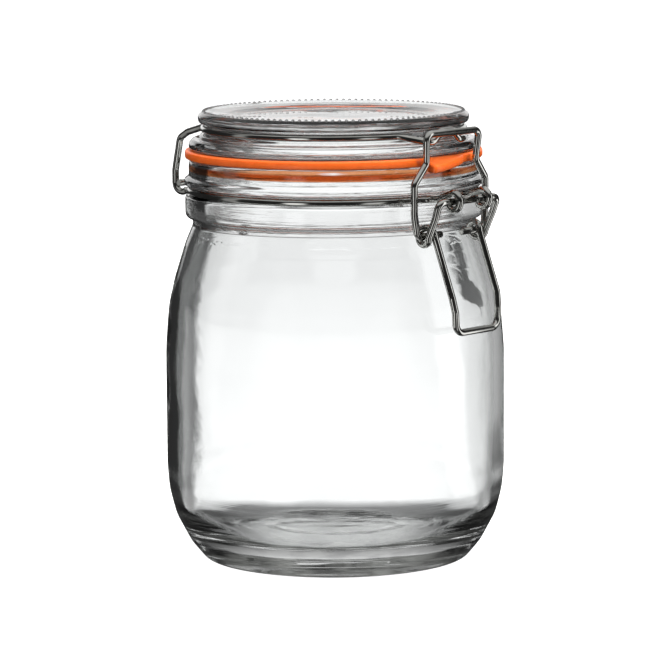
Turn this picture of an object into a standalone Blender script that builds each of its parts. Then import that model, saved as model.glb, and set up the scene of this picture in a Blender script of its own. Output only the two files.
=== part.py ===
"""Clip-top storage jar: glass jar, glass lid, rubber gasket and a steel wire closure.

Blender 4.5, metres, +Z up.  The origin is the centre of the flat ring that the jar
stands on.  The clasp faces -Y and the lid's hinge is at +Y.  Sizes are given in
millimetres and turned to metres where the geometry is made.
"""
import math

import bmesh
import bpy
from mathutils import Vector

MM = 0.001
GAP = 0.3                      # clearance between pieces that touch

# ---- driving dimensions, millimetres ------------------------------------------------
BODY_R = 53.0                  # widest radius of the jar
NECK_R = 44.1                  # neck below the lower collar
COLLAR_R = 46.4                # collar under the neck wire
BEAD_R = 46.6                  # bead over the neck wire
LIP_R = 45.2                   # rim that carries the gasket
MOUTH_R = 40.0                 # inside of the mouth
WALL = 3.2                     # glass thickness of the body
FLOOR_Z = 6.4                  # height of the inner floor
PUNT_R, PUNT_H = 33.0, 2.6     # hollow under the base
FOOT_IN_R, FOOT_OUT_R = 38.2, 41.6  # the flat ring that the jar stands on
LIP_Z = 125.1                  # top of the jar's rim

WIRE_R = 1.1                   # every wire is 2.2 mm thick
NECK_WIRE_R, NECK_WIRE_Z = 44.8, 115.4
LID_WIRE_R, LID_WIRE_Z = 40.4, 134.5

GASKET_IN_R, GASKET_OUT_R, GASKET_T = 41.2, 46.4, 2.5
GASKET_Z = LIP_Z + GAP         # underside of the gasket
TAB_LEFT, TAB_RIGHT, TAB_R = 9.6, 8.0, 51.2
TAB_DROP_LEFT, TAB_DROP_RIGHT = 1.8, 0.2    # the tab hangs lower at its -X end

LID_Z = GASKET_Z + GASKET_T + GAP   # underside of the lid's flange
FLANGE_R = 45.1
LID_TOP_R, LID_TOP_Z = 40.0, 140.2
BOSS_R, BOSS_DROP = 38.6, 2.4  # ring under the lid that sits inside the gasket

PIVOT_Y, PIVOT_Z = -54.7, 115.3     # axis of the lever, in the neck wire's front eyes
HINGE_Y, HINGE_Z = 55.0, 114.6      # axis of the lid, the neck wire's rear pins
COIL_Y, COIL_Z = -47.7, 104.7       # axis that joins the link to the lever's coils
EYE_X = 6.9                         # the front eyes stand this far off the middle
LOOP_R = 2 * WIRE_R + GAP           # centre line of a wire that turns round a wire
LEVER_GAP_X = 3.2                   # where the lever's two pins nearly meet
ARM_X, HANDLE_X = 13.3, 10.5        # lever: arms outside the coils, handle inside
LINK_TOP_Y, LINK_TOP_Z = -48.6, 135.5
LINK_WAIST_Y, LINK_WIDE_Y = -47.9, -47.4
LINK_TOP_X, LINK_WAIST_X, LINK_WIDE_X, LINK_COIL_X = 12.3, 11.5, 16.6, 15.6
HOOK_X = 11.3                       # the lid's hinge legs stand this far off the middle

TURN_STEPS = 36                # facets round the glass
RING_STEP = 7.5                # degrees between a ring wire's points

# ---- a clean scene ------------------------------------------------------------------
for old in list(bpy.data.objects):
    bpy.data.objects.remove(old, do_unlink=True)

parts = bpy.data.collections.new("clip_top_jar")
bpy.context.scene.collection.children.link(parts)


# ---- materials ----------------------------------------------------------------------
def material(name, color, roughness, metallic=0.0, transmission=0.0):
    """One Principled material with plain values."""
    mat = bpy.data.materials.new(name)
    mat.use_nodes = True
    shader = mat.node_tree.nodes["Principled BSDF"]
    shader.inputs["Base Color"].default_value = (*color, 1.0)
    shader.inputs["Roughness"].default_value = roughness
    shader.inputs["Metallic"].default_value = metallic
    shader.inputs["Transmission Weight"].default_value = transmission
    return mat


def finish(obj, mat):
    """Give an object its material and put it in the jar's collection."""
    obj.data.materials.clear()
    obj.data.materials.append(mat)
    for group in list(obj.users_collection):
        group.objects.unlink(obj)
    parts.objects.link(obj)
    return obj


# ---- outlines -----------------------------------------------------------------------
def fillet(before, corner, after, radius, steps):
    """Points of an arc of the given radius that rounds one corner of an outline."""
    corner, before, after = Vector(corner), Vector(before), Vector(after)
    to_a, to_b = (before - corner).normalized(), (after - corner).normalized()
    half = to_a.angle(to_b) / 2.0
    reach = min(radius / math.tan(half), 0.49 * (before - corner).length,
                0.49 * (after - corner).length)
    radius = reach * math.tan(half)
    centre = corner + (to_a + to_b).normalized() * (radius / math.sin(half))
    first, last = corner + to_a * reach, corner + to_b * reach
    start = math.atan2(first.y - centre.y, first.x - centre.x)
    sweep = math.atan2(last.y - centre.y, last.x - centre.x) - start
    sweep = (sweep + math.pi) % (2 * math.pi) - math.pi
    angles = [start + sweep * i / steps for i in range(steps + 1)]
    return [(centre.x + radius * math.cos(a), centre.y + radius * math.sin(a))
            for a in angles]


def outline(corners):
    """Turn (radius, height, fillet, steps) corners of a closed outline into points."""
    points = []
    count = len(corners)
    for i, (r, z, rounding, steps) in enumerate(corners):
        if rounding == 0:
            points.append((r, z))
        else:
            before = corners[i - 1][:2]
            after = corners[(i + 1) % count][:2]
            points += fillet(before, (r, z), after, rounding, steps)
    return points


def turned(name, points, mat, steps=TURN_STEPS):
    """A solid of revolution about Z from a closed outline of (radius, height) points."""
    mesh = bpy.data.meshes.new(name)
    verts = [(r * MM, 0.0, z * MM) for r, z in points]
    on_axis = [i for i, (r, _) in enumerate(points) if r == 0.0]
    edges = [(i, (i + 1) % len(points)) for i in range(len(points))]
    if on_axis:
        edges = [e for e in edges if not (e[0] in on_axis and e[1] in on_axis)]
    mesh.from_pydata(verts, edges, [])
    obj = bpy.data.objects.new(name, mesh)
    screw = obj.modifiers.new("turn", "SCREW")
    screw.steps = steps
    screw.render_steps = steps
    screw.use_merge_vertices = True
    screw.merge_threshold = 0.00001
    screw.use_smooth_shade = True
    return finish(obj, mat)


# ---- wires --------------------------------------------------------------------------
def bend(points, radius, steps=4):
    """Round the inner corners of a 3-D path, each with an arc of the given radius."""
    path = [Vector(points[0])]
    for a, b, c in zip(points, points[1:], points[2:]):
        a, b, c = Vector(a), Vector(b), Vector(c)
        to_a, to_c = (a - b).normalized(), (c - b).normalized()
        half = to_a.angle(to_c) / 2.0
        if half > math.radians(87.0):
            path.append(b)
            continue
        reach = min(radius / math.tan(half), 0.45 * (a - b).length, 0.45 * (c - b).length)
        arc_r = reach * math.tan(half)
        centre = b + (to_a + to_c).normalized() * (arc_r / math.sin(half))
        first, last = b + to_a * reach - centre, b + to_c * reach - centre
        sweep = first.angle(last)
        for i in range(steps + 1):
            share = i / steps
            blend = (math.sin((1 - share) * sweep) * first + math.sin(share * sweep) * last)
            path.append(centre + blend / math.sin(sweep))
    path.append(Vector(points[-1]))
    return path


def arc_yz(centre, x_from, x_to, radius, deg_from, deg_to, steps):
    """Points turning about an axis along X; the x coordinate moves evenly as they turn."""
    cy, cz = centre
    path = []
    for i in range(steps + 1):
        share = i / steps
        angle = math.radians(deg_from + (deg_to - deg_from) * share)
        x = x_from + (x_to - x_from) * share
        path.append(Vector((x, cy + radius * math.cos(angle), cz + radius * math.sin(angle))))
    return path


def ring(radius, height, deg_from, deg_to):
    """Points along a level ring; 0 degrees is +X and -90 degrees is the clasp's side."""
    count = max(1, round(abs(deg_to - deg_from) / RING_STEP))
    angles = [math.radians(deg_from + (deg_to - deg_from) * i / count) for i in range(count + 1)]
    return [Vector((radius * math.cos(a), radius * math.sin(a), height)) for a in angles]


def mirrored(path):
    """The same path on the other side of the jar's middle plane, run the other way."""
    return [Vector((-p.x, p.y, p.z)) for p in reversed(path)]


def wire(name, path, mat, radius=WIRE_R):
    """A round wire along a path, with closed ends."""
    curve = bpy.data.curves.new(name, "CURVE")
    curve.dimensions = "3D"
    curve.bevel_depth = radius * MM
    curve.bevel_resolution = 2
    curve.use_fill_caps = True
    spline = curve.splines.new("POLY")
    spline.points.add(len(path) - 1)
    for point, place in zip(spline.points, path):
        point.co = (place.x * MM, place.y * MM, place.z * MM, 1.0)
    return finish(bpy.data.objects.new(name, curve), mat)


def as_mesh(obj):
    """Replace a wire's curve by its mesh, with the end caps welded on."""
    depsgraph = bpy.context.evaluated_depsgraph_get()
    depsgraph.update()
    mesh = bpy.data.meshes.new_from_object(obj.evaluated_get(depsgraph))
    shell = bmesh.new()
    shell.from_mesh(mesh)
    bmesh.ops.remove_doubles(shell, verts=shell.verts, dist=0.000001)
    shell.to_mesh(mesh)
    shell.free()
    solid = bpy.data.objects.new(obj.name + "_solid", mesh)
    solid.matrix_world = obj.matrix_world
    mat = obj.data.materials[0]
    name = obj.name
    bpy.data.objects.remove(obj, do_unlink=True)
    solid.name = name
    return finish(solid, mat)


def join_solids(target, others):
    """Fuse closed solids into the target with a Boolean union."""
    for other in others:
        union = target.modifiers.new("join_" + other.name, "BOOLEAN")
        union.operation = "UNION"
        union.object = other
    depsgraph = bpy.context.evaluated_depsgraph_get()
    depsgraph.update()
    mesh = bpy.data.meshes.new_from_object(target.evaluated_get(depsgraph))
    target.modifiers.clear()
    target.data = mesh
    for other in others:
        bpy.data.objects.remove(other, do_unlink=True)
    return target


glass = material("clear_glass", (0.93, 0.96, 0.94), 0.02, transmission=1.0)
rubber = material("orange_rubber", (0.83, 0.17, 0.02), 0.5)
steel = material("stainless_wire", (0.62, 0.62, 0.60), 0.2, metallic=1.0)


# ---- jar ----------------------------------------------------------------------------
def jar_outline():
    """Outside of the jar from rim to foot, then the inside from floor to mouth."""
    body_in = BODY_R - WALL
    groove_r = NECK_WIRE_R - WIRE_R - GAP
    return outline([
        (LIP_R, LIP_Z, 1.3, 2),
        (LIP_R, LIP_Z - 5.2, 0, 0),
        (BEAD_R, LIP_Z - 6.1, 0.9, 2),
        (BEAD_R, NECK_WIRE_Z + 1.7, 0.5, 1),
        (groove_r, NECK_WIRE_Z + 1.0, 0, 0),
        (groove_r, NECK_WIRE_Z - 1.0, 0, 0),
        (COLLAR_R, NECK_WIRE_Z - 1.8, 0.8, 2),
        (COLLAR_R, 107.2, 2.0, 2),
        (NECK_R, 106.6, 0, 0),
        (NECK_R, 104.6, 3.0, 1),
        (46.6, 98.6, 10.0, 2),
        (49.9, 88.2, 20.0, 2),
        (51.9, 79.5, 25.0, 1),
        (BODY_R, 66.0, 60.0, 1),
        (BODY_R, 29.0, 30.0, 1),
        (52.4, 21.5, 20.0, 1),
        (50.4, 13.6, 14.0, 2),
        (45.9, 5.2, 8.0, 2),
        (FOOT_OUT_R, 0.0, 1.5, 1),
        (FOOT_IN_R, 0.0, 1.2, 1),
        (PUNT_R, PUNT_H * 0.6, 0, 0),
        (0.0, PUNT_H, 0, 0),
        (0.0, FLOOR_Z - 0.4, 0, 0),
        (33.0, FLOOR_Z, 0, 0),
        (41.6, FLOOR_Z + 2.2, 8.0, 1),
        (47.6, FLOOR_Z + 8.4, 8.0, 2),
        (body_in, 25.5, 0, 0),
        (body_in, 66.0, 60.0, 1),
        (49.1, 79.0, 30.0, 1),
        (47.1, 87.5, 20.0, 1),
        (43.9, 97.7, 12.0, 1),
        (MOUTH_R, 107.5, 8.0, 2),
        (MOUTH_R, LIP_Z, 1.3, 2),
    ])


turned("jar_glass", jar_outline(), glass)


# ---- lid ----------------------------------------------------------------------------
def lid_outline():
    """The lid: rim with a wire groove, flange, boss, and a hollow underside."""
    groove_r = LID_WIRE_R - WIRE_R - GAP
    return outline([
        (0.0, LID_TOP_Z - 2.2, 0, 0),
        (30.5, LID_TOP_Z - 2.2, 0, 0),
        (31.5, LID_TOP_Z - 1.4, 0, 0),
        (36.0, LID_TOP_Z - 1.2, 0, 0),
        (38.2, LID_TOP_Z, 1.0, 1),
        (LID_TOP_R, LID_TOP_Z, 1.0, 1),
        (42.3, LID_TOP_Z - 1.6, 1.0, 2),
        (42.0, LID_WIRE_Z + 1.9, 0.8, 1),
        (groove_r, LID_WIRE_Z + 1.2, 0, 0),
        (groove_r, LID_WIRE_Z - 1.2, 0, 0),
        (41.9, LID_WIRE_Z - 1.9, 0.7, 1),
        (41.9, LID_WIRE_Z - 3.2, 0, 0),
        (44.0, LID_Z + 3.2, 0, 0),
        (FLANGE_R, LID_Z + 1.8, 0.9, 1),
        (FLANGE_R, LID_Z, 0.8, 1),
        (BOSS_R, LID_Z, 0, 0),
        (BOSS_R - 0.6, LID_Z - BOSS_DROP, 0.9, 1),
        (35.2, LID_Z - BOSS_DROP, 0.9, 1),
        (33.0, 133.4, 4.0, 2),
        (0.0, 134.2, 0, 0),
    ])


turned("lid_glass", lid_outline(), glass)


# ---- gasket -------------------------------------------------------------------------
def gasket_ring():
    """The gasket's flat ring, with a slightly rounded outer edge."""
    top = GASKET_Z + GASKET_T
    points = outline([
        (GASKET_IN_R, top, 0.3, 1),
        (GASKET_OUT_R, top, 0.5, 2),
        (GASKET_OUT_R, GASKET_Z, 0.5, 2),
        (GASKET_IN_R, GASKET_Z, 0.3, 1),
    ])
    return turned("gasket", points, rubber, steps=48)


def gasket_tab():
    """The pull tab: a tongue that stands out between the link's legs and droops."""
    low, high = GASKET_Z, GASKET_Z + GASKET_T
    root = GASKET_OUT_R - 1.8
    shell = bmesh.new()
    stations = [(root, 0.0), (GASKET_OUT_R + 0.4, 0.0), (49.6, 0.5), (TAB_R - 0.5, 1.0),
                (TAB_R, 1.0)]
    insets = [0.0, 0.0, 0.0, 0.4, 1.6]
    rings = []
    for (reach, droop), inset in zip(stations, insets):
        left, right = droop * TAB_DROP_LEFT, droop * TAB_DROP_RIGHT
        near, far = inset - TAB_LEFT, TAB_RIGHT - inset
        corners = [(near, low - left), (far, low - right), (far, high - right),
                   (near, high - left)]
        rings.append([shell.verts.new((x * MM, -reach * MM, z * MM)) for x, z in corners])
    for near, far in zip(rings, rings[1:]):
        for i in range(4):
            j = (i + 1) % 4
            shell.faces.new((near[i], near[j], far[j], far[i]))
    shell.faces.new(list(reversed(rings[0])))
    shell.faces.new(rings[-1])
    bmesh.ops.recalc_face_normals(shell, faces=shell.faces)
    mesh = bpy.data.meshes.new("gasket_tab")
    shell.to_mesh(mesh)
    shell.free()
    return finish(bpy.data.objects.new("gasket_tab", mesh), rubber)


def squeeze(obj, inset):
    """Move the tab's top and bottom a hair inside the ring's, so the union is clean."""
    middle = (GASKET_Z + GASKET_T / 2) * MM
    for vert in obj.data.vertices:
        if abs(vert.co.y) < (GASKET_OUT_R + 0.5) * MM:
            vert.co.z += math.copysign(inset * MM, middle - vert.co.z)


tab = gasket_tab()
squeeze(tab, 0.04)
join_solids(gasket_ring(), [tab])


# ---- neck wire ----------------------------------------------------------------------
def neck_side():
    """Half of the neck wire, from the cut end of a front eye to the back of the neck."""
    # Angles are in the Y-Z plane: 0 degrees points in to the glass, 90 degrees up.
    end_angle, over_angle = -35.0, -300.0
    eye = arc_yz((PIVOT_Y, PIVOT_Z), EYE_X, EYE_X, LOOP_R, end_angle, over_angle, 14)
    leave = Vector((EYE_X, -math.sqrt(NECK_WIRE_R ** 2 - EYE_X ** 2), NECK_WIRE_Z))
    start = math.degrees(math.atan2(leave.y, leave.x))
    run_in = [eye[-1], Vector((EYE_X, -50.9, 116.6)), Vector((EYE_X, -49.0, 115.6)),
              leave + Vector((0.4, -1.0, 0.0))]
    along = ring(NECK_WIRE_R, NECK_WIRE_Z, start + 5.0, 90.0)
    return eye[:-1] + bend(run_in + [along[0]], 3.0)[:-1] + along


def hinge_pin(side):
    """One rear pin: out from the neck wire, then sideways to its cut end."""
    root_x, tip_x = 5.6, HOOK_X + WIRE_R + 0.6
    return bend([Vector((side * root_x, NECK_WIRE_R - 0.7, NECK_WIRE_Z)),
                 Vector((side * root_x, HINGE_Y, HINGE_Z)),
                 Vector((side * tip_x, HINGE_Y, HINGE_Z))], 2.0)


half = neck_side()
neck_path = half + mirrored(half)[1:]
neck = as_mesh(wire("neck_band", neck_path, steel))
pins = [as_mesh(wire("hinge_pin_" + tag, hinge_pin(side), steel))
        for tag, side in (("left", -1), ("right", 1))]
join_solids(neck, pins)


# ---- lid wire -----------------------------------------------------------------------
def lid_side():
    """Half of the lid wire, from the middle of the front hump to a rear hook's end."""
    hump_y = LINK_TOP_Y + 2 * WIRE_R + GAP
    low_z, high_z = 132.9, 135.8
    front = bend([Vector((0.0, hump_y, high_z)),
                  Vector((2.6, hump_y, high_z)),
                  Vector((6.0, hump_y, low_z)),
                  Vector((8.6, hump_y + 0.6, low_z)),
                  Vector((11.2, -40.2, LID_WIRE_Z - 0.5))], 2.2, 3)[:-1]
    in_groove = math.degrees(math.atan2(-math.sqrt(LID_WIRE_R ** 2 - 13.4 ** 2), 13.4))
    out_groove = math.degrees(math.atan2(math.sqrt(LID_WIRE_R ** 2 - 12.6 ** 2), 12.6))
    along = ring(LID_WIRE_R, LID_WIRE_Z, in_groove, out_groove)
    hook_r = LOOP_R + 0.4
    leg_y = HINGE_Y + hook_r
    leg = bend([along[-1],
                Vector((HOOK_X, 42.4, LID_WIRE_Z - 0.7)),
                Vector((HOOK_X, 52.2, 131.0)),
                Vector((HOOK_X, 55.6, 129.0)),
                Vector((HOOK_X, leg_y, 118.5)),
                Vector((HOOK_X, leg_y, HINGE_Z))], 2.6, 3)[1:]
    hook = arc_yz((HINGE_Y, HINGE_Z), HOOK_X, HOOK_X, hook_r, 0.0, -140.0, 8)[1:]
    return front + along + leg + hook


half = lid_side()
lid_path = list(mirrored(half))[:-1] + half
wire("lid_band", lid_path, steel)


# ---- lever --------------------------------------------------------------------------
def lever_side(side, pin_end):
    """Half of the lever: pin in the eye, arm, one full turn of coil, handle leg."""
    coil = arc_yz((COIL_Y, COIL_Z), side * ARM_X, side * HANDLE_X, LOOP_R,
                  180.0, 540.0, 16)
    arm = bend([Vector((pin_end, PIVOT_Y, PIVOT_Z)),
                Vector((side * (ARM_X + 0.5), PIVOT_Y, PIVOT_Z)),
                Vector((side * (ARM_X + 0.1), PIVOT_Y + 1.6, PIVOT_Z - 4.6)),
                coil[0]], 2.0)
    leg = bend([coil[-1],
                Vector((side * HANDLE_X, -57.1, 86.4)),
                Vector((side * (HANDLE_X - 0.5), -57.9, 82.0)),
                Vector((side * (HANDLE_X - 0.9), -57.9, 75.8)),
                Vector((0.0, -57.9, 75.8))], 3.2)
    return arm[:-1] + coil + leg[1:]


left = lever_side(-1, LEVER_GAP_X - 0.2)
right = lever_side(1, LEVER_GAP_X + 0.8)
wire("lever", left + list(reversed(right))[1:], steel)


# ---- link ---------------------------------------------------------------------------
def link_side():
    """Half of the link: from the middle of the top bar down to the pin in the coil."""
    return bend([Vector((0.0, LINK_TOP_Y, LINK_TOP_Z)),
                 Vector((LINK_TOP_X, LINK_TOP_Y, LINK_TOP_Z)),
                 Vector((LINK_WAIST_X, LINK_WAIST_Y, 126.6)),
                 Vector((LINK_WIDE_X, LINK_WIDE_Y, 120.6)),
                 Vector((LINK_WIDE_X, LINK_WIDE_Y, 111.5)),
                 Vector((LINK_COIL_X, COIL_Y, COIL_Z)),
                 Vector((4.7, COIL_Y, COIL_Z))], 2.2)


half = link_side()
link_path = list(mirrored(half))[:-1] + half
wire("link", link_path, steel)


# ---- joint axes ---------------------------------------------------------------------
def axis_parent(name, place, children):
    """An empty on a joint's axis that carries the pieces turning about it."""
    empty = bpy.data.objects.new(name, None)
    empty.empty_display_size = 0.01
    empty.location = [value * MM for value in place]
    parts.objects.link(empty)
    for child in children:
        obj = bpy.data.objects[child]
        obj.parent = empty
        obj.matrix_parent_inverse = empty.matrix_basis.inverted()
    return empty


axis_parent("lid_axis", (0.0, HINGE_Y, HINGE_Z), ["lid_glass", "lid_band"])
axis_parent("lever_axis", (0.0, PIVOT_Y, PIVOT_Z), ["lever"])
axis_parent("link_axis", (0.0, COIL_Y, COIL_Z), ["link"])

for piece in parts.objects:
    if piece.type == "MESH" and not piece.modifiers:
        piece.data.shade_smooth()
        piece.data.set_sharp_from_angle(angle=math.radians(40.0))
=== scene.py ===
"""Clip-top storage jar, dressed: pressed glass, a rubber gasket and a drawn steel closure.

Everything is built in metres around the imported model, whose origin is the centre of the
ring that the jar stands on.  The clasp faces -Y and the lid's hinge is at +Y.  Sizes are
given in millimetres and turned to metres where a mesh is made.
"""

import math

import bmesh
import bpy
from bpy.props import FloatProperty, IntProperty, PointerProperty, StringProperty
from bpy.types import Operator, Panel, PropertyGroup
from mathutils import Matrix, Vector, noise


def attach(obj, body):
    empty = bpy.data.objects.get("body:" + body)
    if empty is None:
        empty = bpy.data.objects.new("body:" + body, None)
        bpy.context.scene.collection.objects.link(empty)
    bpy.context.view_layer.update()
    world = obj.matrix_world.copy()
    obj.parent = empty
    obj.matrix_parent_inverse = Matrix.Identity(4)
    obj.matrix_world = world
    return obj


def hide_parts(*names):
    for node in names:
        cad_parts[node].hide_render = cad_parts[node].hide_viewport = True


bl_info = {
    "name": "Clip-top jar",
    "version": (1, 0, 0),
    "blender": (4, 5, 0),
    "location": "3D View > Sidebar > Jar",
    "description": "Builds a glass clip-top storage jar around its packed model",
    "category": "Object",
}

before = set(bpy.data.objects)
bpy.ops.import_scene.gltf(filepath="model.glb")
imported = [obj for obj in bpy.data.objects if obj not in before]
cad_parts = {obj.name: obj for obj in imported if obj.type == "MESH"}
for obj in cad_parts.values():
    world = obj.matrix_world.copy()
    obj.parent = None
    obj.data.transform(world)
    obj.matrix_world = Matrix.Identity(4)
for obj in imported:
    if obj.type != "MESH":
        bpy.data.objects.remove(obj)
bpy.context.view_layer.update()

MM = 0.001
WIRE_R = 1.1                        # every wire is 2.2 mm thick
GAP = 0.3                           # clearance between pieces that touch
PLAY = 0.1                          # clearance between a wire and the floor of its groove
LOOP_R = 2 * WIRE_R + GAP           # centre line of a wire that turns round a wire
ON_AXIS = 1e-6                      # a radius below this is a point on the axis
PIVOT_Y, PIVOT_Z = -54.7, 115.3     # the lever's axis, in the neck wire's front eyes
HINGE_Y, HINGE_Z = 55.0, 114.6      # the lid's axis, at the neck wire's rear pins
COIL_Y, COIL_Z = -47.7, 104.7       # the axis that joins the link to the lever's coils
NECK_WIRE_R, NECK_WIRE_Z = 44.8, 115.4
LID_WIRE_R, LID_WIRE_Z = 40.4, 134.5
HOOK_X = 11.3                       # where the lid wire's hooks go round the rear pins

# Marks left by the mould: heights in millimetres, and degrees round from +X.
NECK_LINES = 104.0, 109.0           # level lines come in over this stretch
HEEL_LINES = 10.0, 14.0, 18.0, 26.0     # low down they come in, hold and fade out again
PARTING_Z = 101.2                   # the joint between the neck ring and the body mould
WORN_Z = 2.8, 3.4                   # the worn underside ends over this stretch
SEAMS = -119.4, 60.6                # the joints between the halves of the body mould

# Painted shade: how much of its darker edge colour the glass is given as its skin turns away
# from the eye, for the dark surroundings seen through its edges.
EDGE_SHADE = (0.12, 0.0), (0.36, 0.04), (0.54, 0.16), (0.72, 0.42), (1.0, 1.0)

PAPER = 1.22                        # brightness of the white paper
ROOM = 3.0                          # radius and height of the surroundings, in metres
AWAY = 42.0                         # the camera looks this way, in degrees round from +X


# ---- sizes and colours a user may change ----------------------------------------------
class JarSettings(PropertyGroup):
    body_r: FloatProperty(
        name="Body radius", description="Widest radius of the jar, in millimetres",
        default=53.0, min=52.0, max=53.0)
    wall: FloatProperty(
        name="Wall", description="Thickness of the body's glass, in millimetres",
        default=3.2, min=2.0, max=5.0)
    floor_z: FloatProperty(
        name="Inner floor", description="Height of the inner floor, in millimetres",
        default=6.4, min=5.0, max=14.0)
    turns: IntProperty(
        name="Facets round", description="Number of facets round the glass",
        default=192, min=48, max=384)
    wave_out: FloatProperty(
        name="Outer waviness", description="How far the outer skin wanders, in millimetres",
        default=0.05, min=0.0, max=0.4)
    wave_in: FloatProperty(
        name="Inner waviness", description="How far the inner skin wanders, in millimetres",
        default=0.2, min=0.0, max=0.8)
    seam: FloatProperty(
        name="Mould seam", description="Height of the mould seams, in millimetres",
        default=0.16, min=0.0, max=0.5)
    tint: StringProperty(
        name="Glass", description="Colour of the glass where it is seen square on, sRGB hex",
        default="#FDFEFE")
    # Painted shade: the darker colour painted where the glass is seen edge on.
    edge_shade: StringProperty(
        name="Glass edge", description="Colour of the glass where it is seen edge on, sRGB hex",
        default="#A0A4A1")


class LidSettings(PropertyGroup):
    top_r: FloatProperty(
        name="Top radius", description="Radius of the beaded top edge, in millimetres",
        default=40.4, min=38.0, max=41.0)
    beads: IntProperty(
        name="Beads", description="Number of small beads round the top edge",
        default=125, min=60, max=240)
    bead_r: FloatProperty(
        name="Bead radius", description="Radius of one bead, in millimetres",
        default=0.52, min=0.1, max=0.8)


class GasketSettings(PropertyGroup):
    out_r: FloatProperty(
        name="Outer radius", description="Outer radius of the gasket, in millimetres",
        default=46.4, min=45.0, max=46.4)
    tab_r: FloatProperty(
        name="Tab reach", description="How far the pull tab reaches, in millimetres",
        default=51.2, min=48.0, max=51.2)
    rubber: StringProperty(
        name="Rubber", description="Colour of the rubber, sRGB hex", default="#EA6416")


class WireSettings(PropertyGroup):
    sides: IntProperty(
        name="Sides", description="Number of facets round a wire", default=20, min=8, max=48)
    steel: StringProperty(
        name="Steel", description="Colour of the wire, sRGB hex", default="#B4B4B0")
    roughness: FloatProperty(
        name="Roughness", description="How rough the drawn wire is",
        default=0.1, min=0.0, max=1.0, subtype="FACTOR")


class StageSettings(PropertyGroup):
    white: StringProperty(
        name="Floor", description="Colour of the floor, sRGB hex", default="#F7F7F6")
    floor_r: FloatProperty(
        name="Floor radius", description="Radius of the floor", default=6.0, unit="LENGTH")
    lens: FloatProperty(
        name="Lens", description="Focal length of the camera", default=203.3,
        unit="CAMERA")


SETTINGS = {"clip_jar": JarSettings, "clip_lid": LidSettings, "clip_gasket": GasketSettings,
            "clip_wire": WireSettings, "clip_stage": StageSettings}


# ---- colours and nodes ----------------------------------------------------------------
def linear(hex_colour):
    """An sRGB hex colour as the linear values that the renderer works in."""
    text = hex_colour.lstrip("#")
    parts = [int(text[i:i + 2], 16) / 255.0 for i in (0, 2, 4)]
    return tuple(c / 12.92 if c <= 0.04045 else ((c + 0.055) / 1.055) ** 2.4
                 for c in parts) + (1.0,)


def toned(colour, share, lift=0.0):
    """A linear colour taken to a share of itself, and lifted."""
    return tuple(min(1.0, c * share + lift) for c in colour[:3]) + (1.0,)


def clamped(value):
    """The value, kept between 0 and 1."""
    return max(0.0, min(1.0, value))


def add(tree, kind, settings=None, links=None, stops=()):
    """Add a shader node: settings holds properties and socket values, links holds sockets or
    nodes, which stand for their first output, and stops a ramp's positions and colours."""
    node = tree.nodes.new("ShaderNode" + kind)
    for key, value in (settings or {}).items():
        if isinstance(key, str) and hasattr(node, key):
            setattr(node, key, value)
        else:
            node.inputs[key].default_value = value
    for key, source in (links or {}).items():
        tree.links.new(getattr(source, "outputs", [source])[0], node.inputs[key])
    if stops:
        marks = node.color_ramp.elements
        for position, colour in stops[1:-1]:
            marks.new(position).color = colour
        marks[0].position, marks[0].color = stops[0]
        marks[-1].position, marks[-1].color = stops[-1]
    return node


def new_material(name):
    """An empty node material."""
    mat = bpy.data.materials.new(name)
    mat.use_nodes = True
    tree = mat.node_tree
    tree.nodes.clear()
    return mat, tree


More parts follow.
